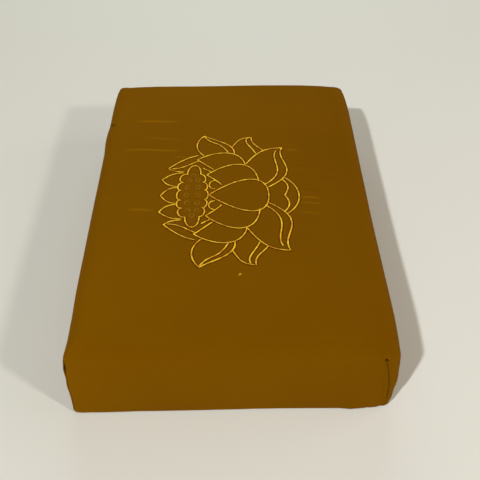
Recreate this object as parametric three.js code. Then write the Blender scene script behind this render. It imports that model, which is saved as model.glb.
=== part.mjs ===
// A kneeling cushion: a firm block in a fitted cloth cover, lying flat on its base.
// Millimetres. +Z is up, +Y runs along the cushion and +X across it. The origin is at the middle of the base.
import * as THREE from "three";
import { mergeVertices } from "three/addons/utils/BufferGeometryUtils.js";

// Driving sizes
const LENGTH = 450;
const WIDTH = 300;
const HEIGHT = 90;

// The cover's shape
const CROWN = 4;
const CROWN_ROUNDNESS = 2.2;
const CORNER_RADIUS = 9;
const TOP_EDGE_RADIUS = 16;
const BASE_EDGE_RADIUS = 4;
const WALL_FULLNESS = 1;
const WALL_LEAN = 2.5;
const TUCK_REACH = 40;
const TOP_TUCK_POWER = 4;
const FLOOR_TUCK_POWER = 2;

// The sewn channels: one down each upright corner, with a pucker at its upper end, and one round the
// lower edge, where the base is sewn on
const SEAM_DEPTH = 1.6;
const SEAM_HALF_WIDTH = 4;
const SEAM_LEAN_POWER = 2;
const PUCKER_DEPTH = 1.4;
const PUCKER_Z = 74;
const PUCKER_HALF_HEIGHT = 7;
const BASE_SEAM_DEPTH = 1;
const BASE_SEAM_HALF_WIDTH = 2.4;

// How finely the surface is stepped: closely on both sides of a corner, and widely between
const CLOSE_REACH = 22;
const CLOSE_STEPS = 11;
const WIDE_STEP = 27;
const BASE_EDGE_STEPS = 3;
const WALL_STEPS = 8;
const TOP_EDGE_STEPS = 6;
const CROWN_STEPS = 6;
const CROWN_STEP_GROWTH = 1.4;

const CLOTH_COLOUR = 0x7a4f05;

// The corners in turn, anticlockwise from above. The cover sits turned a little clockwise on its block, so each
// seam lies past the corner's middle, by `footPast` at the floor and `puckerPast` at its pucker. Each corner is
// drawn in along its diagonal, by `topTuck` at the top and `floorTuck` at the floor.
const CORNERS = [
  { corner: "back right", footPast: -3, puckerPast: -3, topTuck: 6, floorTuck: 1 },
  { corner: "back left", footPast: -1, puckerPast: -1, topTuck: 4, floorTuck: 1 },
  { corner: "front left", footPast: -3, puckerPast: -3, topTuck: 1.5, floorTuck: 1 },
  { corner: "front right", footPast: -7, puckerPast: -16, topTuck: 3, floorTuck: 4.5 },
];

// The sides in turn, each one starting at the corner of the same row above. A side stands proud by `out`
// at each station, where 0 and 1 are its two corners, because a sewn cover fits no side quite alike.
const SIDES = [
  {
    side: "back",
    length: WIDTH,
    stations: [
      { at: 0, out: 2.6 },
      { at: 0.3, out: 3.6 },
      { at: 0.7, out: 1 },
      { at: 1, out: 0 },
    ],
  },
  {
    side: "left",
    length: LENGTH,
    stations: [
      { at: 0, out: 0 },
      { at: 0.5, out: -0.4 },
      { at: 0.8, out: -0.9 },
      { at: 0.93, out: -2.4 },
      { at: 1, out: -1 },
    ],
  },
  {
    side: "front",
    length: WIDTH,
    stations: [
      { at: 0, out: 0.4 },
      { at: 0.2, out: 1.4 },
      { at: 0.7, out: -0.6 },
      { at: 1, out: 0 },
    ],
  },
  {
    side: "right",
    length: LENGTH,
    stations: [
      { at: 0, out: 0 },
      { at: 0.1, out: 0.4 },
      { at: 0.4, out: -0.8 },
      { at: 1, out: 0 },
    ],
  },
];

const QUARTER_TURN = Math.PI / 2;
const CORNER_ARC = CORNER_RADIUS * QUARTER_TURN;

// The starts of equal steps from 0 to 1, without the end
const shares = (steps) => Array.from({ length: steps }, (_, step) => step / steps);

// A bump of height 1 at the middle that fades to 0 at its reach
function fade(distance, reach) {
  return 1 - THREE.MathUtils.smoothstep(Math.abs(distance), 0, reach);
}

// How far a side stands proud at a place along it, eased from station to station
function outAt(stations, at) {
  const b = stations.find((station) => station.at >= at && station.at > 0);
  const a = stations[stations.indexOf(b) - 1];
  return THREE.MathUtils.lerp(a.out, b.out, THREE.MathUtils.smoothstep(at, a.at, b.at));
}

// The block's outline from above, anticlockwise from the middle of the back right corner
function blockOutline() {
  const x = WIDTH / 2 - CORNER_RADIUS;
  const y = LENGTH / 2 - CORNER_RADIUS;
  const path = new THREE.Path();
  path.absarc(x, y, CORNER_RADIUS, QUARTER_TURN / 2, QUARTER_TURN);
  path.absarc(-x, y, CORNER_RADIUS, QUARTER_TURN, 2 * QUARTER_TURN);
  path.absarc(-x, -y, CORNER_RADIUS, 2 * QUARTER_TURN, 3 * QUARTER_TURN);
  path.absarc(x, -y, CORNER_RADIUS, 3 * QUARTER_TURN, 4 * QUARTER_TURN);
  path.absarc(x, y, CORNER_RADIUS, 0, QUARTER_TURN / 2);
  return path;
}

// The places of a side's points, as distances from the middle of its first corner
function distancesAlong(length) {
  const wideLength = length - 2 * CLOSE_REACH;
  const wideSteps = Math.round(wideLength / WIDE_STEP);
  return [
    ...shares(CLOSE_STEPS).map((share) => CLOSE_REACH * share),
    ...shares(wideSteps).map((share) => CLOSE_REACH + wideLength * share),
    ...shares(CLOSE_STEPS).map((share) => length - CLOSE_REACH * (1 - share)),
  ];
}

// How far a side's point is from the nearest corner seam at height z
function fromSeam({ first, last, fromFirst, fromLast }, z) {
  const [firstPast, lastPast] = [first, last].map(({ footPast, puckerPast }) =>
    THREE.MathUtils.lerp(footPast, puckerPast, (z / PUCKER_Z) ** SEAM_LEAN_POWER),
  );
  return Math.min(Math.abs(fromFirst - firstPast), Math.abs(fromLast + lastPast));
}

// How far the corners at both ends of a side draw in a point of that side, at a height from 0 to 1
function tuckAt(point, height) {
  const { place, first, last, fromFirst, fromLast } = point;
  const atTop = height ** TOP_TUCK_POWER;
  const atFloor = (1 - height) ** FLOOR_TUCK_POWER;
  const [firstTuck, lastTuck] = [first, last].map(
    ({ topTuck, floorTuck }) => topTuck * atTop + floorTuck * atFloor,
  );
  const tuck = firstTuck * fade(fromFirst, TUCK_REACH) + lastTuck * fade(fromLast, TUCK_REACH);
  return new THREE.Vector2(-Math.sign(place.x), -Math.sign(place.y)).setLength(tuck);
}

// One turn round the cushion from above. Each point has its place on the block and the outward direction there,
// how far its side stands proud, and its side's two corners with its distance from each.
function planPoints() {
  const path = blockOutline();
  const around = path.getLength();
  let start = 0;
  return SIDES.flatMap((side, index) => {
    const first = CORNERS[index];
    const last = CORNERS[(index + 1) % CORNERS.length];
    const length = side.length - 2 * CORNER_RADIUS + CORNER_ARC;
    const points = distancesAlong(length).map((distance) => {
      const share = (start + distance) / around;
      const place = path.getPoint(share);
      const tangent = path.getTangent(share);
      return {
        place,
        outward: new THREE.Vector2(tangent.y, -tangent.x),
        out: outAt(side.stations, distance / length),
        first,
        last,
        fromFirst: distance,
        fromLast: length - distance,
      };
    });
    start += length;
    return points;
  });
}

// The wall's rings from the floor up: how far in from the block's outline each one lies, and its height
function wallRings() {
  const wallTop = HEIGHT - CROWN - TOP_EDGE_RADIUS;
  const baseEdge = shares(BASE_EDGE_STEPS).map((share) => ({
    inset: BASE_EDGE_RADIUS * (1 - Math.sin(QUARTER_TURN * share)),
    z: BASE_EDGE_RADIUS * (1 - Math.cos(QUARTER_TURN * share)),
  }));
  const wall = shares(WALL_STEPS).map((share) => ({
    inset: 0,
    z: THREE.MathUtils.lerp(BASE_EDGE_RADIUS, wallTop, share),
  }));
  const topEdge = [...shares(TOP_EDGE_STEPS), 1].map((share) => ({
    inset: TOP_EDGE_RADIUS * (1 - Math.cos(QUARTER_TURN * share)),
    z: wallTop + TOP_EDGE_RADIUS * Math.sin(QUARTER_TURN * share),
  }));
  return [...baseEdge, ...wall, ...topEdge];
}

// A point's place on the block's outline, drawn in evenly from all four sides so that no corner crosses itself
function drawnIn(place, inset) {
  return new THREE.Vector2(place.x * (1 - (2 * inset) / WIDTH), place.y * (1 - (2 * inset) / LENGTH));
}

// How far a point of the wall stands out from the block: its side's own shape, and the wall's fullness and
// lean, less what the seams draw in
function standsOut(point, z) {
  const share = z / (HEIGHT - CROWN);
  const wall = WALL_FULLNESS * Math.sin(Math.PI * share) - WALL_LEAN * share;
  const seamEnds = THREE.MathUtils.smoothstep(PUCKER_Z + PUCKER_HALF_HEIGHT - z, 0, PUCKER_HALF_HEIGHT);
  const pucker = PUCKER_DEPTH * fade(z - PUCKER_Z, PUCKER_HALF_HEIGHT);
  const cornerSeam = (SEAM_DEPTH * seamEnds + pucker) * fade(fromSeam(point, z), SEAM_HALF_WIDTH);
  const baseSeam = BASE_SEAM_DEPTH * fade(z - BASE_EDGE_RADIUS, BASE_SEAM_HALF_WIDTH);
  return point.out + wall - cornerSeam - baseSeam;
}

// Every ring of the cushion, from the one that rests on the floor to the last one round the crown's top
function cushionRings() {
  const points = planPoints();
  const rings = wallRings().map(({ inset, z }) =>
    points.map((point) => {
      const place = drawnIn(point.place, inset);
      place.addScaledVector(point.outward, standsOut(point, z));
      place.add(tuckAt(point, z / (HEIGHT - CROWN)));
      return new THREE.Vector3(place.x, place.y, z);
    }),
  );
  const rim = rings[rings.length - 1];
  for (let step = 1; step < CROWN_STEPS; step += 1) {
    const shrink = 1 - (step / CROWN_STEPS) ** CROWN_STEP_GROWTH;
    rings.push(rim.map((point) => crownPoint(point, shrink)));
  }
  return rings;
}

// A point of the crowned top: the rim's point drawn in towards the middle, and raised as it goes
function crownPoint(rimPoint, shrink) {
  const rise = CROWN * (1 - shrink ** CROWN_ROUNDNESS);
  return new THREE.Vector3(rimPoint.x * shrink, rimPoint.y * shrink, rimPoint.z + rise);
}

// The closed surface through the rings, from the middle of the flat base to the top of the crown
function cushionGeometry() {
  const rings = cushionRings();
  const around = rings[0].length;
  const positions = rings.flat().flatMap((point) => point.toArray());
  const baseMiddle = positions.length / 3;
  const crownTop = baseMiddle + 1;
  positions.push(0, 0, 0, 0, 0, HEIGHT);
  const indices = [];
  for (let i = 0; i < around; i += 1) {
    const next = (i + 1) % around;
    indices.push(baseMiddle, next, i);
    for (let ring = 0; ring + 1 < rings.length; ring += 1) {
      const below = ring * around;
      const above = below + around;
      indices.push(below + i, below + next, above + next);
      indices.push(below + i, above + next, above + i);
    }
    const last = (rings.length - 1) * around;
    indices.push(last + i, last + next, crownTop);
  }

  const geometry = new THREE.BufferGeometry();
  geometry.setAttribute("position", new THREE.Float32BufferAttribute(positions, 3));
  geometry.setIndex(indices);
  return mergeVertices(geometry);
}

// Brings the outermost points to the driving sizes, and the middle of the base to the origin
function toDrivingSizes(geometry) {
  geometry.computeBoundingBox();
  const size = geometry.boundingBox.getSize(new THREE.Vector3());
  const centre = geometry.boundingBox.getCenter(new THREE.Vector3());
  geometry.translate(-centre.x, -centre.y, -geometry.boundingBox.min.z);
  geometry.scale(WIDTH / size.x, LENGTH / size.y, HEIGHT / size.z);
  geometry.computeVertexNormals();
  return geometry;
}

function makeCushion() {
  const cloth = new THREE.MeshStandardMaterial({ color: CLOTH_COLOUR, roughness: 0.8, metalness: 0 });
  const mesh = new THREE.Mesh(toDrivingSizes(cushionGeometry()), cloth);
  mesh.name = "cushion";
  return mesh;
}

const model = new THREE.Group();
model.add(makeCushion());

export default model;
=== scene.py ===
# A kneeling cushion: a firm block in a fitted ochre cloth cover, with a flower embroidered on its top.
# Metres. +Z is up, +Y runs along the cushion away from the camera and +X across it to the camera's right.
import math
from collections import namedtuple

import bmesh
import bpy
import numpy as np
from mathutils import Matrix, Vector
from mathutils.bvhtree import BVHTree


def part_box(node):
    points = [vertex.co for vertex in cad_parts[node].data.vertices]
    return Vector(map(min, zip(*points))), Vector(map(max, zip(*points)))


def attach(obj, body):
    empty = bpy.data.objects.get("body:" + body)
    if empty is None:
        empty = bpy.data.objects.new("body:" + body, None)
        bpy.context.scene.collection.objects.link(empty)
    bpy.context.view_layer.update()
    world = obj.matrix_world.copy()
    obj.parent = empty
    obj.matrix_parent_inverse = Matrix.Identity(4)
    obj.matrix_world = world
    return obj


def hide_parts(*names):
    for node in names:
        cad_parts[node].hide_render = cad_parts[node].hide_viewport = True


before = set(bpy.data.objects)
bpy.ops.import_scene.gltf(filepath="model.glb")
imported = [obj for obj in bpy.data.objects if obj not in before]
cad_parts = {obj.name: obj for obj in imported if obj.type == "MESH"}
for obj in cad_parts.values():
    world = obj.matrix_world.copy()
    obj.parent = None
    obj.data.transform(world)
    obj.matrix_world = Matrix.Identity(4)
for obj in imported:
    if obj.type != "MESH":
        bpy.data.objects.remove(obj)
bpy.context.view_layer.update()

MM = 0.001
LOW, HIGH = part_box("cushion")
WIDTH, LENGTH, HEIGHT = HIGH - LOW

# The camera. Its place, angles and lens are rounded results of a fit to the cushion's outline in the
# photograph, for which the picture's side is in pixels.
PICTURE_SIDE = 480
FOCAL_PIXELS = 729.9
SENSOR = 36
CAMERA_PLACE = Vector((-0.95, -614.3, 574.4)) * MM
CAMERA_PITCH = 42.58
CAMERA_YAW = 0.95
CAMERA_ROLL = 0.41

# The cover's net of lines before it is filled: even steps, with closer lines at the edges and the seams
STEP_ACROSS = 10 * MM
STEP_ALONG = 8.5 * MM
STEP_UP = 7 * MM
EDGE_LINES = (4 * MM, 9 * MM, 15 * MM)
CLOSEST_LINES = 0.8 * MM
ROUNDING = 1e-6
SEAM_HALF_WIDTH = 0.9 * MM
SEAM_CLEARANCE = 3 * SEAM_HALF_WIDTH
CREASE_HALF_WIDTH = 2.2 * MM
BASE_SEAM_Z = 3 * MM
BASE_SEAM_HALF_WIDTH = 1.5 * MM
BASE_RING = 9 * MM

# The corner seams, in mm. Each lies in the front or the back wall, `inward` from the block's upright edge at
# the floor, and leans away from that edge by `lean` on its way to its puckered opening at `top`, which gapes
# for `gape` up and down and is drawn in by `deep`.
SEAMS = [
    {"corner": (1, -1), "inward": 5.5, "lean": 9.5, "top": 69.5, "gape": 2.4, "deep": 2.6},
    {"corner": (-1, -1), "inward": 2.4, "lean": 0, "top": 64, "gape": 13, "deep": 0.5},
    {"corner": (-1, 1), "inward": 2.4, "lean": 0, "top": 75, "gape": 4, "deep": 2},
    {"corner": (1, 1), "inward": 5.5, "lean": 0, "top": 75, "gape": 4, "deep": 2},
]

# How far round a leaning seam the net slides with it, and how much further than `lean` it may slide above the
# opening, as a share
LEAN_REACH = 34 * MM
LEAN_MOST = 1.2

# How deep the block's core lies, towards which the net is drawn onto the block
CORE_DEPTH = 20 * MM

# How near the block's edges the cloth lies tight on it, and how much further in it lies quite loose
TIGHT_REACH = 12 * MM
LOOSE_REACH = 30 * MM

# Creases in the cloth of the top: the way across the cushion that each one runs, how far along it lies at
# both ends, and how deep the cloth falls there, in mm. A crease has a sharp side on its line and a slow side
# as wide as its reach, which lies in front of the line, or behind it where the depth is negative. One with
# `dark` has that much painted shade inside it as far as its middle, and less and less from there to its end.
CREASES = [
    {"across": (-116, -62), "along": (125.2, 124), "depth": 0.9, "reach": 24},
    {"across": (-153, -135), "along": (133.4, 120.5), "depth": -0.3, "reach": 12, "dark": 1.0},
    {"across": (-100, -57), "along": (90, 85), "depth": 0.25, "reach": 9},
    {"across": (-125, -57), "along": (67, 65), "depth": 0.5, "reach": 9},
    {"across": (-66, -50), "along": (51, 51), "depth": 0.25, "reach": 8},
    {"across": (-108, -80), "along": (-38, -40), "depth": 0.45, "reach": 8},
    {"across": (-139, -126), "along": (-152, -152), "depth": 0.1, "reach": 8},
    {"across": (61, 75), "along": (65, 65), "depth": 0.4, "reach": 8},
    {"across": (64, 84), "along": (35, 39), "depth": -0.4, "reach": 8},
    {"across": (69, 118), "along": (19, 19), "depth": -0.25, "reach": 8},
    {"across": (74, 96), "along": (-4, -7), "depth": -0.45, "reach": 8},
    {"across": (72, 94), "along": (-20, -20), "depth": 0.4, "reach": 8},
    {"across": (72, 94), "along": (-29, -29), "depth": 0.3, "reach": 7},
    {"across": (71, 92), "along": (-45, -45), "depth": 0.25, "reach": 8},
]

# Where the sewing pulls the cover out of the block's shape, how far, and how far round that place it does, in
# mm. A tall pull reaches that many times as far up and down.
PULLS = [
    {"at": (-142, -222, 0), "out": (-0.3, -2.4, 0), "reach": 60},
    {"at": (-142, -222, 0), "out": (-1.3, -0.5, 0), "reach": 13},
    {"at": (-146, -220, 18), "out": (0.5, 0, 0), "reach": 14},
    {"at": (-146, -219, 40), "out": (-1.0, 0, 0), "reach": 14},
    {"at": (-147, -218, 60), "out": (-1.8, 0, 0), "reach": 17},
    {"at": (130.1, -218.5, 75), "out": (0, -1.9, 0), "reach": 4.5, "tall": 1.6},
    {"at": (131.3, -220, 69.5), "out": (0, -1.2, 0), "reach": 3.5, "tall": 1.3},
    {"at": (-149, 106, 74), "out": (-1.4, 0, 0.3), "reach": 34},
    {"at": (146, -220, 0), "out": (0.2, -1.8, 0), "reach": 30},
    {"at": (115, -222, 0), "out": (0, -1.8, 0), "reach": 18},
    {"at": (149, -216, 36), "out": (0.8, 0, 0), "reach": 16},
    {"at": (-139, 205.5, 83), "out": (-1.3, 1.6, 1.0), "reach": 10},
]

# The filling
ROOM_TO_SWELL = 1.5 * MM
PRESSURE = 4.0
SWELL_FRAMES = 20
SWELL_CAP = 1.7 * MM
LEAST_MOVE = 1e-9
CLOTH_QUALITY = 3
CLOTH_STIFFNESS = 80
CLOTH_DAMPING = 20
HELD_FROM = 0.9
SUBDIVISIONS = 2
LETTING_OUT_ROUNDS = 2

# What the sewing draws in. An opening's middle is where its mark is above OPENING_MARK.
SEAM_DEPTH = 1.2 * MM
OPENING_HALF_WIDTH = 2.2 * MM
OPENING_MARK = 0.99
BASE_SEAM_DEPTH = 0.6 * MM
SEAM_ROUNDNESS = 1.5

# Every crease fades in from nothing at START / RISE of the cushion's height to whole at (START + 1) / RISE of
# it, and winds a little. Its rim has a painted highlight where the sharp side faces the lamps, or painted
# shade where its depth is negative, and the more so the deeper the crease.
CREASE_START = 2.6
CREASE_RISE = 4
CREASE_WINDING = 0.02
CREASE_WINDS = 5
CREASE_RIM_STRENGTH = 2

# How much painted shade darkens the cloth, from 0 to 1, in a seam, in the seam round the base, under the
# lower edge and in a crease, and how narrow that painted shade is
SEAM_DARK = 0.5
BASE_SEAM_DARK = 0.3
UNDERSIDE_DARK = 0.8
UNDERSIDE_Z = 2.6 * MM
CREASE_DARK = 0.12
DARK_CREASE_HALF_WIDTH = 1.5 * CREASE_HALF_WIDTH
DARK_NARROWNESS = 3

# Which way the rounded edge between top and front faces. The cloth has a little painted shade where it faces
# nearly that way.
FRONT_EDGE = (0, -0.707, 0.707)
FRONT_EDGE_SHADE = 0.11
FRONT_EDGE_FROM = 0.78
FRONT_EDGE_EASE = 0.22


def smooth(share):
    """Eases a share from 0 to 1."""
    share = np.clip(share, 0, 1)
    return share * share * (3 - 2 * share)


def bump(distance, half_width):
    """A soft ridge of height 1 that ends at its half width."""
    return (1 - np.clip(np.abs(distance) / half_width, 0, 1) ** 2) ** 2


# Node trees


class Value:
    """A socket of a node tree. Arithmetic on it adds the Math nodes that work it out."""

    def __init__(self, graph, socket):
        self.graph = graph
        self.socket = socket

    def math(self, operation, *inputs):
        return self.graph.add("ShaderNodeMath", {"operation": operation}, dict(enumerate(inputs)))[0]

    def __add__(self, other):
        return self.math("ADD", self, other)

    def __mul__(self, other):
        return self.math("MULTIPLY", self, other)

    def __sub__(self, other):
        return self.math("SUBTRACT", self, other)

    def __rsub__(self, other):
        return self.math("SUBTRACT", other, self)

    def __gt__(self, other):
        return self.math("GREATER_THAN", self, other)

    __radd__ = __add__
    __rmul__ = __mul__

    def sine(self):
        return self.math("SINE", self)

    def size(self):
        """The value without its sign."""
        return self.math("ABSOLUTE", self)

    def clipped(self):
        """The value kept between 0 and 1."""
        return self.math("MINIMUM", self.math("MAXIMUM", self, 0.0), 1.0)


class Graph:
    """Adds nodes to one node tree."""

    def __init__(self, tree):
        self.tree = tree
        tree.nodes.clear()

    def add(self, kind, settings=None, inputs=None):
        """Adds a node of this type with its settings and its inputs, and gives its outputs."""
        node = self.tree.nodes.new(kind)
        for name, setting in (settings or {}).items():
            setattr(node, name, setting)
        for name, given in (inputs or {}).items():
            if isinstance(given, Value):
                self.tree.links.new(given.socket, node.inputs[name])
            else:
                node.inputs[name].default_value = given
        return Outputs(self, node)


class Outputs:
    """A node's outputs by name or place."""

    def __init__(self, graph, node):
        self.graph = graph
        self.node = node

    def __getitem__(self, name):
        return Value(self.graph, self.node.outputs[name])


# The camera


def make_camera():
    """The camera at the photograph's place, which looks along +Y and down."""
    data = bpy.data.cameras.new("camera")
    data.sensor_width = SENSOR
    data.lens = SENSOR * FOCAL_PIXELS / PICTURE_SIDE
    pitch, yaw, roll = (math.radians(angle) for angle in (CAMERA_PITCH, CAMERA_YAW, CAMERA_ROLL))
    look = Vector((math.sin(yaw) * math.cos(pitch), math.cos(yaw) * math.cos(pitch), -math.sin(pitch)))
    level = Vector((math.cos(yaw), -math.sin(yaw), 0))
    upright = level.cross(look)
    right = level * math.cos(roll) + upright * math.sin(roll)
    up = upright * math.cos(roll) - level * math.sin(roll)
    camera = bpy.data.objects.new("camera", data)
    camera.matrix_world = Matrix.Translation(CAMERA_PLACE) @ Matrix((right, up, -look)).transposed().to_4x4()
    bpy.context.scene.collection.objects.link(camera)
    bpy.context.scene.camera = camera


# The cover's shape


def filled(stops, step):
    """The stops, without any that crowd the one before, and with even steps filled in between them."""
    kept = [stops[0]]
    for stop in sorted(stops[1:-1]):
        if stop - kept[-1] >= CLOSEST_LINES and stops[-1] - stop >= CLOSEST_LINES:
            kept.append(stop)
    kept.append(stops[-1])
    lines = []
    for a, b in zip(kept, kept[1:]):
        parts = math.ceil((b - a) / step - ROUNDING)
        lines += [a + (b - a) * part / parts for part in range(parts)]
    return np.array(lines + [kept[-1]])


def lines_over(half, seams, creases, step):
    """The net's lines from -half to half, with close lines at both edges and round the seams and creases."""
    edges = [side * (half - line) for side in (-1, 1) for line in EDGE_LINES]
    near = [seam + side * SEAM_HALF_WIDTH for seam in seams for side in (-1, 0, 1)]
    near += [crease + side * CREASE_HALF_WIDTH for crease in creases for side in (-1, 0, 1)]
    clear = [line for line in edges if all(abs(line - seam) > SEAM_CLEARANCE for seam in seams)]
    return filled([-half, *sorted(clear + near), half], step)


def seam_line(seam):
    """Where a seam stands at the floor, across the cushion."""
    return seam["corner"][0] * (WIDTH / 2 - seam["inward"] * MM)


class Net:
    """The cover as a net of quads on a box, before it takes the block's shape."""

    def __init__(self):
        seams = [seam_line(seam) for seam in SEAMS]
        creases = [sum(row["along"]) / 2 * MM for row in CREASES]
        self.x = lines_over(WIDTH / 2, seams, [], STEP_ACROSS)
        self.y = lines_over(LENGTH / 2, [], creases, STEP_ALONG)
        base = [0.0, BASE_SEAM_Z - BASE_SEAM_HALF_WIDTH, BASE_SEAM_Z, BASE_SEAM_Z + BASE_SEAM_HALF_WIDTH]
        openings = [seam["top"] * MM for seam in SEAMS]
        near = [top + side * OPENING_HALF_WIDTH for top in openings for side in (-1, 0, 1)]
        self.z = filled([*base, *near, HEIGHT - EDGE_LINES[0], HEIGHT], STEP_UP)
        self.places = []
        self.numbers = {}
        self.faces = []
        self.unfolded = []
        self.make_top()
        self.make_walls()
        self.make_base()

    def vertex(self, i, j, k):
        """The number of the vertex where these three lines of the net meet."""
        key = (i, j, k)
        if key not in self.numbers:
            self.numbers[key] = len(self.places)
            self.places.append((self.x[i], self.y[j], self.z[k]))
        return self.numbers[key]

    def face(self, corners, spread):
        """A face through these corners, and where each of them lies on the flat cloth."""
        self.faces.append([self.vertex(*corner) for corner in corners])
        self.unfolded.append([spread(self.x[i], self.y[j], HEIGHT - self.z[k]) for i, j, k in corners])

    def make_top(self):
        k = len(self.z) - 1
        for i in range(len(self.x) - 1):
            for j in range(len(self.y) - 1):
                corners = [(i, j, k), (i + 1, j, k), (i + 1, j + 1, k), (i, j + 1, k)]
                self.face(corners, lambda x, y, down: (x, y))

    def make_walls(self):
        last_i, last_j = len(self.x) - 1, len(self.y) - 1
        for k in range(len(self.z) - 1):
            for i in range(last_i):
                front = [(i, 0, k), (i + 1, 0, k), (i + 1, 0, k + 1), (i, 0, k + 1)]
                back = [(i + 1, last_j, k), (i, last_j, k), (i, last_j, k + 1), (i + 1, last_j, k + 1)]
                self.face(front, lambda x, y, down: (x, y - down))
                self.face(back, lambda x, y, down: (x, y + down))
            for j in range(last_j):
                right = [(last_i, j, k), (last_i, j + 1, k), (last_i, j + 1, k + 1), (last_i, j, k + 1)]
                left = [(0, j + 1, k), (0, j, k), (0, j, k + 1), (0, j + 1, k + 1)]
                self.face(right, lambda x, y, down: (x + down, y))
                self.face(left, lambda x, y, down: (x - down, y))

    def make_base(self):
        """A ring of quads inside the lower edge. The rest of the base is closed later, by close_base."""
        last_i, last_j = len(self.x) - 1, len(self.y) - 1
        edge = [(i, 0) for i in range(last_i)] + [(last_i, j) for j in range(last_j)]
        edge += [(i, last_j) for i in range(last_i, 0, -1)] + [(0, j) for j in range(last_j, 0, -1)]
        outer = [self.vertex(i, j, 0) for i, j in edge]
        inner = []
        self.base_start = len(self.places)
        for number in outer:
            x, y, z = self.places[number]
            inner.append(len(self.places))
            self.places.append((x * (1 - 2 * BASE_RING / WIDTH), y * (1 - 2 * BASE_RING / LENGTH), z))
        for n, number in enumerate(outer):
            after = (n + 1) % len(outer)
            self.faces.append([outer[after], number, inner[n], inner[after]])
            self.unfolded.append([self.places[v][:2] for v in self.faces[-1]])


def leaned(places):
    """The places with the leaning seams' lines slid along their walls."""
    moved = places.copy()
    for seam in SEAMS:
        side_x, side_y = seam["corner"]
        from_line = moved[:, 0] - seam_line(seam)
        from_wall = LENGTH / 2 - side_y * moved[:, 1]
        rise = (moved[:, 2] / (seam["top"] * MM)) ** 2
        reach = smooth(1 - np.abs(from_line) / LEAN_REACH) * smooth(1 - from_wall / LEAN_REACH)
        moved[:, 0] -= side_x * seam["lean"] * MM * np.clip(rise, 0, LEAN_MOST) * reach
    return moved


def tree_of(mesh):
    return BVHTree.FromPolygons([v.co for v in mesh.vertices], [p.vertices for p in mesh.polygons])


def on_block(places):
    """The places moved straight towards the block's core onto the CAD cushion, and how tight the cloth is
    there: it lies firmly on the block's edges, and has room to swell on its flat sides."""
    tree = tree_of(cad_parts["cushion"].data)
    depth = Vector((1, 1, 1)) * CORE_DEPTH
    fitted, tight = [], []
    for place in map(Vector, places):
        core = Vector(np.clip(place, LOW + depth, HIGH - depth))
        inward = (core - place).normalized()
        found = tree.ray_cast(place - inward * CORE_DEPTH, inward)[0]
        # The second nearest of the block's six sides is as far off as its nearest edge.
        from_edge = sorted([*(place - LOW), *(HIGH - place)])[1]
        tight.append(smooth(1 - (from_edge - TIGHT_REACH) / LOOSE_REACH))
        fitted.append(found + inward * ROOM_TO_SWELL * (1 - tight[-1]))
    return np.array(fitted), np.array(tight)


def put_attribute(mesh, name, values):
    mesh.attributes.new(name, "FLOAT", "POINT").data.foreach_set("value", np.asarray(values, np.float32))


def get_attribute(mesh, name):
    values = np.zeros(len(mesh.vertices), np.float32)
    mesh.attributes[name].data.foreach_get("value", values)
    return values


def places_of(mesh, what="co"):
    values = np.zeros(len(mesh.vertices) * 3, np.float32)
    mesh.vertices.foreach_get(what, values)
    return values.reshape(-1, 3).astype(float)


def move_to(mesh, places):
    mesh.vertices.foreach_set("co", places.astype(np.float32).ravel())
    mesh.update()


def seam_marks(net):
    """For every vertex of the net: 1 on a corner seam, 1 at its opening, and 1 on the seam round the base."""
    places = np.array(net.places)
    on_seam = np.zeros(len(places))
    on_opening = np.zeros(len(places))
    for seam in SEAMS:
        wall, top = seam["corner"][1] * LENGTH / 2, seam["top"] * MM
        on_line = np.isclose(places[:, 0], seam_line(seam)) & np.isclose(places[:, 1], wall)
        on_seam[on_line & (places[:, 2] <= top + ROUNDING)] = 1
        on_opening[on_line & np.isclose(places[:, 2], top)] = 1
    on_base = np.isclose(places[:, 2], BASE_SEAM_Z)
    return on_seam, on_opening, on_base


def make_cover():
    """The cover's net on the block, a little small, with its seams marked."""
    net = Net()
    places = np.array(net.places)
    tight = np.ones(len(places))
    shown = np.arange(len(places)) < net.base_start
    places[shown], tight[shown] = on_block(leaned(places[shown]))
    mesh = bpy.data.meshes.new("cushion_cover")
    mesh.from_pydata(places.tolist(), [], net.faces)
    unfolded = np.array([place for face in net.unfolded for place in face], np.float32)
    mesh.uv_layers.new(name="cloth").data.foreach_set("uv", unfolded.ravel())
    on_seam, on_opening, on_base = seam_marks(net)
    put_attribute(mesh, "seam", on_seam)
    put_attribute(mesh, "opening", on_opening)
    put_attribute(mesh, "base_seam", on_base)
    put_attribute(mesh, "tight", tight)
    mesh.update()
    cover = bpy.data.objects.new("cushion_cover", mesh)
    bpy.context.scene.collection.objects.link(cover)
    return cover


def swollen(cover):
    """Where the cloth's vertices come to rest when the filling presses them out. The filling is firm foam, so
    none of them moves inwards."""
    held = cover.vertex_groups.new(name="held")
    places, normals = places_of(cover.data), places_of(cover.data, "normal")
    tight = get_attribute(cover.data, "tight")
    for number, place in enumerate(places):
        firm = tight[number] > HELD_FROM or place[2] < BASE_SEAM_Z
        held.add([number], float(firm), "REPLACE")
    cloth = cover.modifiers.new("filling", "CLOTH")
    settings = cloth.settings
    settings.quality = CLOTH_QUALITY
    settings.tension_stiffness = settings.compression_stiffness = CLOTH_STIFFNESS
    settings.tension_damping = settings.compression_damping = CLOTH_DAMPING
    settings.use_pressure = True
    settings.uniform_pressure_force = PRESSURE
    settings.vertex_group_mass = held.name
    settings.effector_weights.gravity = 0
    cloth.point_cache.frame_end = SWELL_FRAMES
    scene = bpy.context.scene
    for step in range(1, SWELL_FRAMES + 1):
        scene.frame_set(step)
    settled = places_of(cover.evaluated_get(bpy.context.evaluated_depsgraph_get()).data)
    cover.modifiers.remove(cloth)
    cover.vertex_groups.clear()
    scene.frame_set(1)
    moved = settled - places
    outward = (moved * normals).sum(axis=1, keepdims=True)
    moved -= normals * np.minimum(outward, 0)
    far = np.linalg.norm(moved, axis=1, keepdims=True)
    return places + moved * np.minimum(1, SWELL_CAP / np.maximum(far, LEAST_MOVE))


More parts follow.
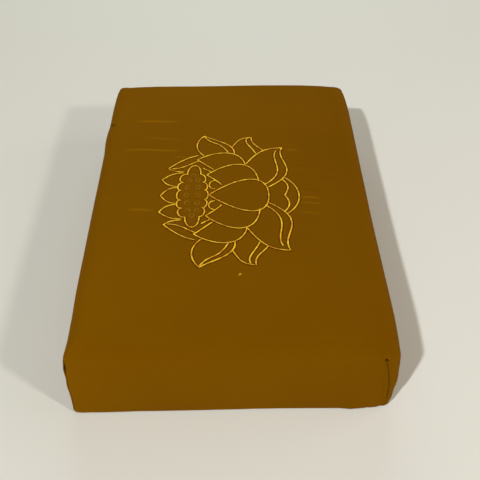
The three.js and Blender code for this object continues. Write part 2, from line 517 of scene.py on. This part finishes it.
def subdivide(cover):
    """Makes the subdivision real, with the net first let out as far as it draws it in."""
    wanted = places_of(cover.data)
    finer = cover.modifiers.new("finer", "SUBSURF")
    finer.levels = finer.render_levels = SUBDIVISIONS
    finer.uv_smooth = "NONE"
    for _ in range(LETTING_OUT_ROUNDS):
        drawn = places_of(cover.evaluated_get(bpy.context.evaluated_depsgraph_get()).data)[: len(wanted)]
        move_to(cover.data, places_of(cover.data) + wanted - drawn)
    mesh = bpy.data.meshes.new_from_object(cover.evaluated_get(bpy.context.evaluated_depsgraph_get()))
    cover.modifiers.clear()
    cover.data = mesh
    mesh.name = "cushion_cover"
    mesh.shade_smooth()


def close_base(mesh):
    """Closes the flat middle of the base with one face."""
    shape = bmesh.new()
    shape.from_mesh(mesh)
    rim = [edge for edge in shape.edges if edge.is_boundary]
    flat = shape.loops.layers.uv["cloth"]
    for face in bmesh.ops.holes_fill(shape, edges=rim, sides=0)["faces"]:
        face.smooth = True
        for loop in face.loops:
            loop[flat].uv = loop.vert.co.xy
    shape.to_mesh(mesh)
    shape.free()


def tighten(mesh):
    """Lays the cloth back on the block where it is tight, and pulls it out where the sewing does."""
    tree = tree_of(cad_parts["cushion"].data)
    places, tight = places_of(mesh), get_attribute(mesh, "tight")
    nearest = np.array([tree.find_nearest(place)[0] for place in places])
    places += (nearest - places) * tight[:, None]
    for pull in PULLS:
        off = (places - np.array(pull["at"]) * MM) / (1, 1, pull.get("tall", 1))
        away = np.linalg.norm(off, axis=1)
        places += bump(away, pull["reach"] * MM)[:, None] * np.array(pull["out"]) * MM
    places[:, 2] = np.maximum(places[:, 2], 0)
    move_to(mesh, places)


def sew(mesh):
    """Draws the cloth in along the corner seams, at their openings and round the base, and paints shade
    there, under the lower edge and on the front top edge.
    """
    places, normals = places_of(mesh), places_of(mesh, "normal")
    seam, opening, base = (get_attribute(mesh, name) for name in ("seam", "opening", "base_seam"))
    gap, deep = np.zeros(len(places)), np.zeros(len(places))
    for row in SEAMS:
        middle = (opening > OPENING_MARK) & (np.sign(places[:, :2]) == row["corner"]).all(axis=1)
        off = places - places[middle].mean(axis=0)
        level = np.linalg.norm(off[:, :2], axis=1) / OPENING_HALF_WIDTH
        here = bump(np.hypot(level, off[:, 2] / (row["gape"] * MM)), 1)
        gap = np.maximum(gap, here)
        deep += here * row["deep"] * MM
    draw = SEAM_DEPTH * seam**SEAM_ROUNDNESS + deep + BASE_SEAM_DEPTH * base**SEAM_ROUNDNESS
    move_to(mesh, places - normals * draw[:, None])
    under = smooth(1 - places[:, 2] / UNDERSIDE_Z)
    on_edge = smooth((normals @ FRONT_EDGE - FRONT_EDGE_FROM) / FRONT_EDGE_EASE)
    # Painted shade in the seams, the openings and the seam round the base, under the lower edge and on the
    # front top edge
    painted_shade = SEAM_DARK * seam**DARK_NARROWNESS + gap + BASE_SEAM_DARK * base**DARK_NARROWNESS
    painted_shade += UNDERSIDE_DARK * under
    painted_shade += FRONT_EDGE_SHADE * on_edge
    put_attribute(mesh, "painted_shade", np.clip(painted_shade, 0, 1))


def crease(mesh):
    """Presses the creases into the top, and paints a highlight or shade along their rims and shade inside a
    dark fold.
    """
    places, normals = places_of(mesh), places_of(mesh, "normal")
    painted_shade = get_attribute(mesh, "painted_shade")
    fall, crease_highlight = np.zeros(len(places)), np.zeros(len(places))
    high = smooth(places[:, 2] / HEIGHT * CREASE_RISE - CREASE_START)
    for row in CREASES:
        (x0, x1), (y0, y1) = np.array(row["across"]) * MM, np.array(row["along"]) * MM
        share = (places[:, 0] - x0) / (x1 - x0)
        line = y0 + (y1 - y0) * share + CREASE_WINDING * (x1 - x0) * np.sin(CREASE_WINDS * share)
        behind = (places[:, 1] - line) * np.sign(row["depth"])
        sharp = smooth(1 - behind / CREASE_HALF_WIDTH) * (behind > 0)
        slow = smooth(1 + behind / (row["reach"] * MM)) * (behind <= 0)
        where = np.clip(4 * share * (1 - share), 0, 1) ** 0.5 * high
        fall += abs(row["depth"]) * MM * where * (sharp + slow)
        rim_strength = min(1, abs(row["depth"]) * CREASE_RIM_STRENGTH)
        # The rim's painted highlight, or its painted shade where the depth is negative
        rim = where * bump(behind - CREASE_HALF_WIDTH / 2, CREASE_HALF_WIDTH) * rim_strength
        crease_highlight += rim * (row["depth"] > 0)
        painted_shade += rim * (row["depth"] < 0) * CREASE_DARK
        # Painted shade inside a crease with `dark`
        inside = bump(places[:, 1] - line, DARK_CREASE_HALF_WIDTH) * high
        painted_shade += row.get("dark", 0) * inside * smooth(2 - 2 * share) * (share > 0)
    move_to(mesh, places - normals * fall[:, None])
    mesh.attributes["painted_shade"].data.foreach_set("value", np.clip(painted_shade, 0, 1).astype(np.float32))
    put_attribute(mesh, "crease_highlight", np.clip(crease_highlight, 0, 1))


# The embroidery

# The flower lies on its side: A runs along it towards its tip, which is -X, and C runs across it.
FLOWER_MIDDLE = Vector((0, -16)) * MM
LINE_WIDTH = 2.3 * MM
SEED_THREAD_WIDTH = 0.9 * MM
STITCH_SPACING = 0.42 * MM
STITCH_OVERLAP = 1.25
STITCH_HEIGHT = 1.0 * MM
# The gold lines' painted shade: dark, flat stitches under and a little past each line, which stand for the
# shade beside the raised thread
GOLD_EDGE_SHADE_MARGIN = 2.5 * MM
GOLD_EDGE_SHADE_SPACING = 1.1 * MM
GOLD_EDGE_SHADE_HEIGHT = 0.36 * MM
STITCH_SLANT = math.radians(24)
STITCH_UNEVEN = math.radians(7)
STITCH_WIDTH_UNEVEN = 0.05
STITCH_SEED = 3
STITCH_LIFT = 0.12 * MM
STITCH_SIDES = 5
STITCH_RINGS = 4
LINE_STEP = 1.0 * MM
FEWEST_PLACES = 4
LONGER_THAN_CHORD = 1.2

# Half of the flower's lines, in mm and degrees, with places as (A, C). Each is one cubic curve. It leaves its
# start and arrives at its end in the directions of the two angles, where 0 is along A and 90 along C, and
# keeps to them for about as far as `pull` and `hold` say. Most rows are rounded results of a fit to places
# read off the photograph.
PetalLine = namedtuple("PetalLine", "name start leaving pull end arriving hold")
PETAL_LINES = [
    PetalLine("front petal", (-39, 0), 90, 40, (24, 0), -45, 42),
    PetalLine("flank, outer", (-29, 23), 85, 37, (27, 34), -45, 40),
    PetalLine("flank, inner", (27, 34), -135, 8, (11, 17), -125, 9),
    PetalLine("shoulder, outer", (-15, 53), 80, 28, (38, 62), -40, 28),
    PetalLine("shoulder, inner", (38, 62), -135, 9, (20, 44), -135, 11),
    PetalLine("wide petal, edge", (-16, 54), 120, 20, (-57, 85), 180, 23),
    PetalLine("wide petal, rim", (-57, 85), -65, 26, (-39, 13), -35, 52),
    PetalLine("wide petal, fold", (-50, 79), -65, 21, (-35, 17), -40, 38),
    PetalLine("cup", (-57, 30), -140, 12, (-71, 0), -90, 11),
    PetalLine("cup, lip", (-55, 26), -125, 12, (-56, 0), -65, 12),
    PetalLine("side petal, edge", (0, 85), 120, 14, (-21, 105), 170, 14),
    PetalLine("side petal, fold", (-18, 103), -60, 10, (-27, 74), -105, 12),
    PetalLine("side petal, rim", (-23, 105), -80, 12, (-35, 80), -120, 9),
    PetalLine("curled petal, edge", (31, 70), 45, 16, (31, 108), 135, 15),
    PetalLine("curled petal, fold", (31, 106), -120, 19, (4, 76), -115, 25),
    PetalLine("curled petal, rim", (31, 108), -140, 16, (-3, 73), -85, 20),
    PetalLine("long petal, outer", (37, 70), -15, 14, (69, 47), -45, 13),
    PetalLine("long petal, fold", (36, 60), -30, 12, (65, 46), 0, 12),
    PetalLine("long petal, inner", (69, 47), -125, 7, (52, 40), -175, 7),
    PetalLine("back petal, outer", (52, 38), 5, 9, (75, 27), -45, 12),
    PetalLine("back petal, inner", (75, 27), -115, 9, (59, 15), -175, 7),
    PetalLine("last petal", (59, 13), -5, 9, (75, 0), -60, 8),
    PetalLine("stamen loop", (18, 24), -5, 8, (18, 10), 180, 8),
    PetalLine("stamen", (31, 46), -140, 3, (23, 40), -140, 3),
]

# Half of the seed pod's rim, in mm: the places (A, C) where two of its lobes meet, and how far the lobe that
# starts there bulges.
POD_LOBES = [
    {"at": (54, 8), "bulge": 4.5},
    {"at": (52, 21), "bulge": 5.5},
    {"at": (48, 35.5), "bulge": 16},
    {"at": (33.5, 35), "bulge": 4},
    {"at": (31, 21), "bulge": 4},
    {"at": (29, 8), "bulge": 4},
]

# The middles (A, C) of half of the seeds, and of those on the flower's own line, in mm
SEEDS = [(41, 33), (45.8, 25), (36.4, 25), (47.2, 13), (36, 13)]
MIDDLE_SEEDS = [(48, 0), (35.6, 0)]
SEED_HALF_WIDTH = 2.3
SEED_HALF_LENGTH = 2.9
SEED_PLACES = 25

# The short loose end of thread in front of the flower, in mm across and along the cushion
LOOSE_END = [(6.8, -134.4), (7.2, -133.4), (7.9, -132.4)]


def cubic(start, first, second, end):
    """Even places on a cubic curve, about a step apart."""
    reach = np.linalg.norm(np.subtract(end, start)) * MM * LONGER_THAN_CHORD
    share = np.linspace(0, 1, max(FEWEST_PLACES, round(reach / LINE_STEP)))[:, None]
    rest = 1 - share
    parts = (rest**3, 3 * rest**2 * share, 3 * rest * share**2, share**3)
    return sum(part * np.array(place, float) for part, place in zip(parts, (start, first, second, end)))


def direction(angle):
    """The way that an angle in degrees points, from A towards C."""
    return np.array([math.cos(math.radians(angle)), math.sin(math.radians(angle))])


def petal_line(row):
    start, end = np.array(row.start, float), np.array(row.end, float)
    first = start + direction(row.leaving) * row.pull
    second = end - direction(row.arriving) * row.hold
    return cubic(start, first, second, end)


def pod_rim():
    """The whole rim of the seed pod, lobe by lobe, as one closed line."""
    places = [np.array(lobe["at"], float) for lobe in POD_LOBES]
    bulges = [lobe["bulge"] for lobe in POD_LOBES]
    places += [place * (1, -1) for place in reversed(places)]
    bulges += [*reversed(bulges[:-1]), POD_LOBES[-1]["bulge"]]
    rim = []
    for number, start in enumerate(places):
        end = places[(number + 1) % len(places)]
        along = (end - start) / np.linalg.norm(end - start)
        out = np.array([along[1], -along[0]]) * bulges[number] * 4 / 3
        rim.append(cubic(start, start + out, end + out, end)[:-1])
    return np.vstack([*rim, rim[0][:1]])


def seed_ring(middle):
    """The oval outline of one seed."""
    turn = np.linspace(0, 2 * math.pi, SEED_PLACES)[:, None]
    return np.array(middle) + np.hstack([np.cos(turn) * SEED_HALF_WIDTH, np.sin(turn) * SEED_HALF_LENGTH])


def in_plan(line):
    """A line of the flower laid out on the cushion, seen from above."""
    return np.column_stack([-line[:, 0], line[:, 1]]) * MM + np.array(FLOWER_MIDDLE)


def mirrored(lines):
    """The lines, and after them their mirror images across the flower's own line."""
    return lines + [line * (1, -1) for line in lines]


def flower_lines():
    """All lines of the gold thread, with the loose end as the last."""
    drawn = mirrored([petal_line(row) for row in PETAL_LINES]) + [pod_rim()]
    return [in_plan(line) for line in drawn] + [np.array(LOOSE_END) * MM]


def seed_lines():
    rings = mirrored([seed_ring(middle) for middle in SEEDS]) + [seed_ring(middle) for middle in MIDDLE_SEEDS]
    return [in_plan(ring) for ring in rings]


def lay_on(tree, lines, width):
    """A mesh of edges along the lines on the cover, which keeps the way up and the width of every line."""
    places, edges, ways = [], [], []
    for line in lines:
        edges += [(len(places) + n, len(places) + n + 1) for n in range(len(line) - 1)]
        for x, y in line:
            found, normal = tree.ray_cast(Vector((x, y, 2 * HEIGHT)), Vector((0, 0, -1)))[:2]
            places.append(found + normal * STITCH_LIFT)
            ways.append(normal)
    mesh = bpy.data.meshes.new("lines")
    mesh.from_pydata(places, edges, [])
    mesh.attributes.new("way_up", "FLOAT_VECTOR", "POINT").data.foreach_set("vector", np.array(ways).ravel())
    put_attribute(mesh, "line_width", np.full(len(places), width))
    return mesh


def kept_on_lines(graph, name, kind):
    """What lay_on keeps under this name for every place of the lines."""
    return graph.add("GeometryNodeInputNamedAttribute", {"data_type": kind}, {"Name": name})["Attribute"]


def stitch_tree(material):
    """Slanting stitches side by side along every edge line of a mesh."""
    tree = bpy.data.node_groups.new("stitches", "GeometryNodeTree")
    graph = Graph(tree)
    face = tree.interface
    face.new_socket("Geometry", in_out="OUTPUT", socket_type="NodeSocketGeometry")
    face.new_socket("Geometry", in_out="INPUT", socket_type="NodeSocketGeometry")
    for name in ("Spacing", "Thickness", "Height", "Slant", "Uneven"):
        face.new_socket(name, in_out="INPUT", socket_type="NodeSocketFloat")
    given = graph.add("NodeGroupInput")
    curve = graph.add("GeometryNodeMeshToCurve", None, {"Mesh": given["Geometry"]})["Curve"]
    evenly = {"Curve": curve, "Length": given["Spacing"]}
    row = graph.add("GeometryNodeResampleCurve", {"mode": "LENGTH"}, evenly)["Curve"]
    way_up = kept_on_lines(graph, "way_up", "FLOAT_VECTOR")
    width = kept_on_lines(graph, "line_width", "FLOAT")
    tangent = graph.add("GeometryNodeInputTangent")["Tangent"]
    axes = {"Primary Axis": way_up, "Secondary Axis": tangent}
    axis_names = {"primary_axis": "Z", "secondary_axis": "X"}
    along_line = graph.add("FunctionNodeAxesToRotation", axis_names, axes)["Rotation"]
    limits = {"Min": -1.0, "Max": 1.0, "Seed": STITCH_SEED}
    chance = graph.add("FunctionNodeRandomValue", {"data_type": "FLOAT"}, limits)[1]
    slant = given["Slant"] + given["Uneven"] * chance
    lean = graph.add("FunctionNodeAxisAngleToRotation", None, {"Axis": (0, 0, 1), "Angle": slant})["Rotation"]
    turns = {"Rotation": along_line, "Rotate By": lean}
    slanting = graph.add("FunctionNodeRotateRotation", {"rotation_space": "LOCAL"}, turns)["Rotation"]
    sides = {"X": given["Thickness"], "Y": width * (1 + STITCH_WIDTH_UNEVEN * chance), "Z": given["Height"]}
    size = graph.add("ShaderNodeCombineXYZ", None, sides)["Vector"]
    ball_of_width_one = {"Segments": STITCH_SIDES, "Rings": STITCH_RINGS, "Radius": 0.5}
    stitch = graph.add("GeometryNodeMeshUVSphere", None, ball_of_width_one)["Mesh"]
    copies = {"Points": row, "Instance": stitch, "Rotation": slanting, "Scale": size}
    placed = graph.add("GeometryNodeInstanceOnPoints", None, copies)["Instances"]
    real = graph.add("GeometryNodeRealizeInstances", None, {"Geometry": placed})["Geometry"]
    soft = graph.add("GeometryNodeSetShadeSmooth", None, {"Geometry": real})["Geometry"]
    coloured = {"Geometry": soft, "Material": material}
    finished = graph.add("GeometryNodeSetMaterial", None, coloured)["Geometry"]
    graph.add("NodeGroupOutput", None, {"Geometry": finished})
    return tree


def stitched(name, mesh, material, spacing, height):
    """A piece made of stitches along the lines of a mesh."""
    piece = bpy.data.objects.new(name, mesh)
    bpy.context.scene.collection.objects.link(piece)
    stitches = piece.modifiers.new("stitches", "NODES")
    stitches.node_group = stitch_tree(material)
    sizes = {"Spacing": spacing, "Thickness": spacing * STITCH_OVERLAP, "Height": height}
    sizes |= {"Slant": STITCH_SLANT, "Uneven": STITCH_UNEVEN}
    for socket in stitches.node_group.interface.items_tree:
        if socket.name in sizes:
            stitches[socket.identifier] = sizes[socket.name]
    finished = bpy.data.meshes.new_from_object(piece.evaluated_get(bpy.context.evaluated_depsgraph_get()))
    piece.modifiers.remove(stitches)
    piece.data = finished
    finished.name = name
    finished.materials.clear()
    finished.materials.append(material)
    return piece


# Finishes

OCHRE_LIGHT = (0.207, 0.084, 0.0004, 1)
OCHRE_DARK = (0.167, 0.065, 0.0002, 1)
# Painted highlight: the paler ochre of a crease's lit rim
OCHRE_HIGHLIGHT = (0.25, 0.108, 0.002, 1)
# Painted shade: the nearly black ochre that the seams, openings, creases and underside are darkened towards
OCHRE_PAINTED_SHADE = (0.012, 0.002, 0.0005, 1)
PAINTED_SHADE_STRENGTH = 0.92
CLOTH_SHINE = (1.0, 0.5, 0.05, 1)
CLOTH_FUZZ = (1.0, 0.45, 0.02, 1)
THREAD_PITCH = 0.36 * MM
YARN_ARCH = 0.4
YARN_HEIGHT = 0.06 * MM
SLUB_HEIGHT = 0.08 * MM
SLUB_STRETCH = (14, 420)
SLUB_SCALE = 4.0
BLOTCH_SCALE = 9.0

# What makes the cloth paler, from dark at 0 to light at 1: where it starts, what the weave, the slubs and the
# blotches add, and how much it loses for each metre towards the camera's right. The weave's part is painted
# shade: the hollows between the yarns are darker.
SHADE_START = 0.35
WEAVE_HOLLOW_SHADE = 0.25
SHADE_SLUBS = 0.35
SHADE_BLOTCHES = 0.9
DARKER_TOWARDS_RIGHT = 2.4

# The threads: the pale and the deep shade that each varies between, and how rough it is
THREADS = {
    "gold_thread": {"pale": (1.0, 0.66, 0.025, 1), "deep": (0.60, 0.23, 0.003, 1), "rough": 0.4},
    # Painted shade beside the gold lines
    "gold_edge_shade_thread": {"pale": (0.075, 0.018, 0.0003, 1), "deep": (0.05, 0.011, 0.0002, 1), "rough": 0.9},
    "seam_thread": {"pale": (0.42, 0.20, 0.006, 1), "deep": (0.24, 0.10, 0.003, 1), "rough": 0.6},
}
THREAD_SHINE = (1.0, 0.6, 0.1, 1)
THREAD_SCALE = 170.0

FLOOR_DEEP = (0.79, 0.775, 0.69, 1)
FLOOR_PALE = (0.81, 0.80, 0.72, 1)
FLOOR_SCALE = 3.0


def new_finish(name):
    """A new material and the graph of its empty node tree."""
    material = bpy.data.materials.new(name)
    material.use_nodes = True
    graph = Graph(material.node_tree)
    return material, graph


def finish_surface(graph, inputs):
    """Ends a material with one surface that has these inputs."""
    surface = graph.add("ShaderNodeBsdfPrincipled", None, inputs)
    graph.add("ShaderNodeOutputMaterial", None, {"Surface": surface["BSDF"]})


def mixed(graph, share, a, b):
    """Colour a where the share is 0, and colour b where it is 1."""
    return graph.add("ShaderNodeMix", {"data_type": "RGBA"}, {0: share, 6: a, 7: b})[2]


def noise(graph, place, scale, detail):
    """Soft noise between 0 and 1 at this place."""
    return graph.add("ShaderNodeTexNoise", None, {"Vector": place, "Scale": scale, "Detail": detail})["Fac"]


def slubs_along(graph, flat, stretch):
    """Noise drawn out into the thick and thin stretches of yarns."""
    stretched = graph.add("ShaderNodeMapping", None, {"Vector": flat, "Scale": stretch})["Vector"]
    return noise(graph, stretched, SLUB_SCALE, 2.0)


def mark(graph, name):
    """A value that the cover keeps for each of its vertices."""
    return graph.add("ShaderNodeAttribute", {"attribute_name": name})["Fac"]


def cloth_finish():
    """Fine plain-woven cloth: its weave, uneven yarns and soft changes of shade, with painted shade and
    painted highlights.
    """
    material, graph = new_finish("ochre_cloth")
    flat = graph.add("ShaderNodeUVMap", {"uv_map": "cloth"})["UV"]
    parts = graph.add("ShaderNodeSeparateXYZ", None, {0: flat})
    warp = (parts["X"] * (math.pi / THREAD_PITCH)).sine()
    weft = (parts["Y"] * (math.pi / THREAD_PITCH)).sine()
    over = warp * weft > 0.0
    warp_height = warp.size() * (1 - YARN_ARCH + YARN_ARCH * weft.size())
    weft_height = weft.size() * (1 - YARN_ARCH + YARN_ARCH * warp.size())
    weave = over * warp_height + (1 - over) * weft_height

    long, short = SLUB_STRETCH
    slubs = slubs_along(graph, flat, (long, short, 1)) + slubs_along(graph, flat, (short, long, 1)) - 1.0
    place = graph.add("ShaderNodeTexCoord")["Object"]
    blotches = noise(graph, place, BLOTCH_SCALE, 3.0) - 0.5
    across = graph.add("ShaderNodeSeparateXYZ", None, {0: place})["X"]
    # The weave's part is painted shade in the hollows between the yarns
    light = SHADE_START + WEAVE_HOLLOW_SHADE * weave + SHADE_SLUBS * slubs + SHADE_BLOTCHES * blotches
    # The cloth grows darker towards the camera's right
    light = light - DARKER_TOWARDS_RIGHT * across
    colour = mixed(graph, light.clipped(), OCHRE_DARK, OCHRE_LIGHT)
    # Painted highlight along the creases' rims
    colour = mixed(graph, mark(graph, "crease_highlight"), colour, OCHRE_HIGHLIGHT)
    # Painted shade in the seams, openings, creases, under the lower edge and on the front top edge
    colour = mixed(graph, mark(graph, "painted_shade") * PAINTED_SHADE_STRENGTH, colour, OCHRE_PAINTED_SHADE)
    relief = {"Strength": 0.35, "Distance": 1.0, "Height": weave * YARN_HEIGHT + slubs * SLUB_HEIGHT}
    bumped = graph.add("ShaderNodeBump", None, relief)["Normal"]
    finish_surface(
        graph,
        {
            "Base Color": colour,
            "Roughness": 0.78 + 0.1 * slubs,
            "Normal": bumped,
            "IOR": 1.06,
            "Specular Tint": CLOTH_SHINE,
            "Sheen Weight": 0.09,
            "Sheen Roughness": 0.5,
            "Sheen Tint": CLOTH_FUZZ,
        },
    )
    return material


def thread_finish(name):
    """Thread with a soft gleam, a little uneven in shade from stitch to stitch."""
    thread = THREADS[name]
    material, graph = new_finish(name)
    shade = noise(graph, graph.add("ShaderNodeTexCoord")["Object"], THREAD_SCALE, 3.0)
    # The noise's contrast about its middle, three times as strong
    share = (3.0 * shade - 1.0).clipped()
    colour = mixed(graph, share, thread["deep"], thread["pale"])
    finish_surface(graph, {"Base Color": colour, "Roughness": thread["rough"], "Specular Tint": THREAD_SHINE})
    return material


def floor_finish():
    """A plain pale floor with faint soft clouds."""
    material, graph = new_finish("pale_floor")
    clouds = noise(graph, graph.add("ShaderNodeTexCoord")["Object"], FLOOR_SCALE, 2.0)
    colour = mixed(graph, clouds, FLOOR_DEEP, FLOOR_PALE)
    finish_surface(graph, {"Base Color": colour, "Roughness": 0.7, "Specular IOR Level": 0.25})
    return material


# The floor and the light

FLOOR_HALF = 4.0
FLOOR_GAP = 0.2 * MM

# The lamps: where each stands, in metres, and the side of its square. It faces the origin. The strengths and
# tints are rounded results of a fit to the photograph's tones.
LAMPS = [
    {"name": "key", "from": (-1.53, -2.39, 2.82), "side": 0.15, "power": 107, "tint": (0.90, 0.94, 0.98)},
    {"name": "second", "from": (1.52, -1.29, 1.52), "side": 0.2, "power": 16.5, "tint": (0.97, 1.0, 0.9)},
    {"name": "back panel", "from": (0, 1.7, 0.9), "side": 1.5, "power": 11, "tint": (0.82, 1.0, 0.98)},
    {"name": "right panel", "from": (1.9, 0.2, 0.9), "side": 1.5, "power": 9.5, "tint": (0.97, 0.86, 1.0)},
]

# The light from all round, which comes from the same fit, and what only the camera sees past the floor's edge
SKY_TINT = (1.0, 0.6, 0.3, 1)
SKY_STRENGTH = 0.12
WALL_TINT = (0.62, 0.60, 0.54, 1)


def make_floor():
    corners = [(-1, -1), (1, -1), (1, 1), (-1, 1)]
    mesh = bpy.data.meshes.new("floor")
    mesh.from_pydata([(x * FLOOR_HALF, y * FLOOR_HALF, -FLOOR_GAP) for x, y in corners], [], [(0, 1, 2, 3)])
    mesh.materials.append(floor_finish())
    floor = bpy.data.objects.new("floor", mesh)
    bpy.context.scene.collection.objects.link(floor)


def make_lights():
    """The lamps, each turned to the origin. The camera doesn't see them."""
    for lamp in LAMPS:
        data = bpy.data.lights.new(lamp["name"], "AREA")
        data.size = lamp["side"]
        data.energy = lamp["power"]
        data.color = lamp["tint"]
        light = bpy.data.objects.new(lamp["name"], data)
        light.location = lamp["from"]
        light.rotation_euler = light.location.to_track_quat("Z", "Y").to_euler()
        light.visible_camera = False
        bpy.context.scene.collection.objects.link(light)


def make_sky():
    """The even light from all round, with a plain pale wall in its place where the camera looks at it."""
    world = bpy.data.worlds.new("sky")
    world.use_nodes = True
    graph = Graph(world.node_tree)
    seen = graph.add("ShaderNodeLightPath")["Is Camera Ray"]
    sky = graph.add("ShaderNodeBackground", None, {"Color": SKY_TINT, "Strength": SKY_STRENGTH})
    wall = graph.add("ShaderNodeBackground", None, {"Color": WALL_TINT, "Strength": 1.0})
    both = graph.add("ShaderNodeMixShader", None, {0: seen, 1: sky["Background"], 2: wall["Background"]})
    graph.add("ShaderNodeOutputWorld", None, {"Surface": both["Shader"]})
    bpy.context.scene.world = world
    bpy.context.scene.view_settings.view_transform = "Standard"


def finished_cover():
    """The cover, filled, sewn and creased."""
    cover = make_cover()
    move_to(cover.data, swollen(cover))
    subdivide(cover)
    close_base(cover.data)
    tighten(cover.data)
    sew(cover.data)
    crease(cover.data)
    cover.data.materials.append(cloth_finish())
    return cover


def make_flower(surface):
    """The gold lines."""
    lines = lay_on(surface, flower_lines(), LINE_WIDTH)
    return stitched("flower", lines, thread_finish("gold_thread"), STITCH_SPACING, STITCH_HEIGHT)


def make_gold_edge_shade(surface):
    """Painted shade: dark, flat stitches under the gold lines and a little past them, for the shade beside
    the raised thread, but not under the loose end.
    """
    lines = lay_on(surface, flower_lines()[:-1], LINE_WIDTH + GOLD_EDGE_SHADE_MARGIN)
    return stitched("gold_edge_shade", lines, thread_finish("gold_edge_shade_thread"), GOLD_EDGE_SHADE_SPACING, GOLD_EDGE_SHADE_HEIGHT)


def make_seeds(surface):
    """The dull rings in the seed pod."""
    lines = lay_on(surface, seed_lines(), SEED_THREAD_WIDTH)
    return stitched("seeds", lines, thread_finish("seam_thread"), STITCH_SPACING, STITCH_HEIGHT / 2)


make_camera()
make_floor()
make_lights()
make_sky()
cover = finished_cover()
surface = tree_of(cover.data)
flower = make_flower(surface)
gold_edge_shade = make_gold_edge_shade(surface)
seeds = make_seeds(surface)
for piece in (cover, flower, gold_edge_shade, seeds):
    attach(piece, "root")
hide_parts("cushion")
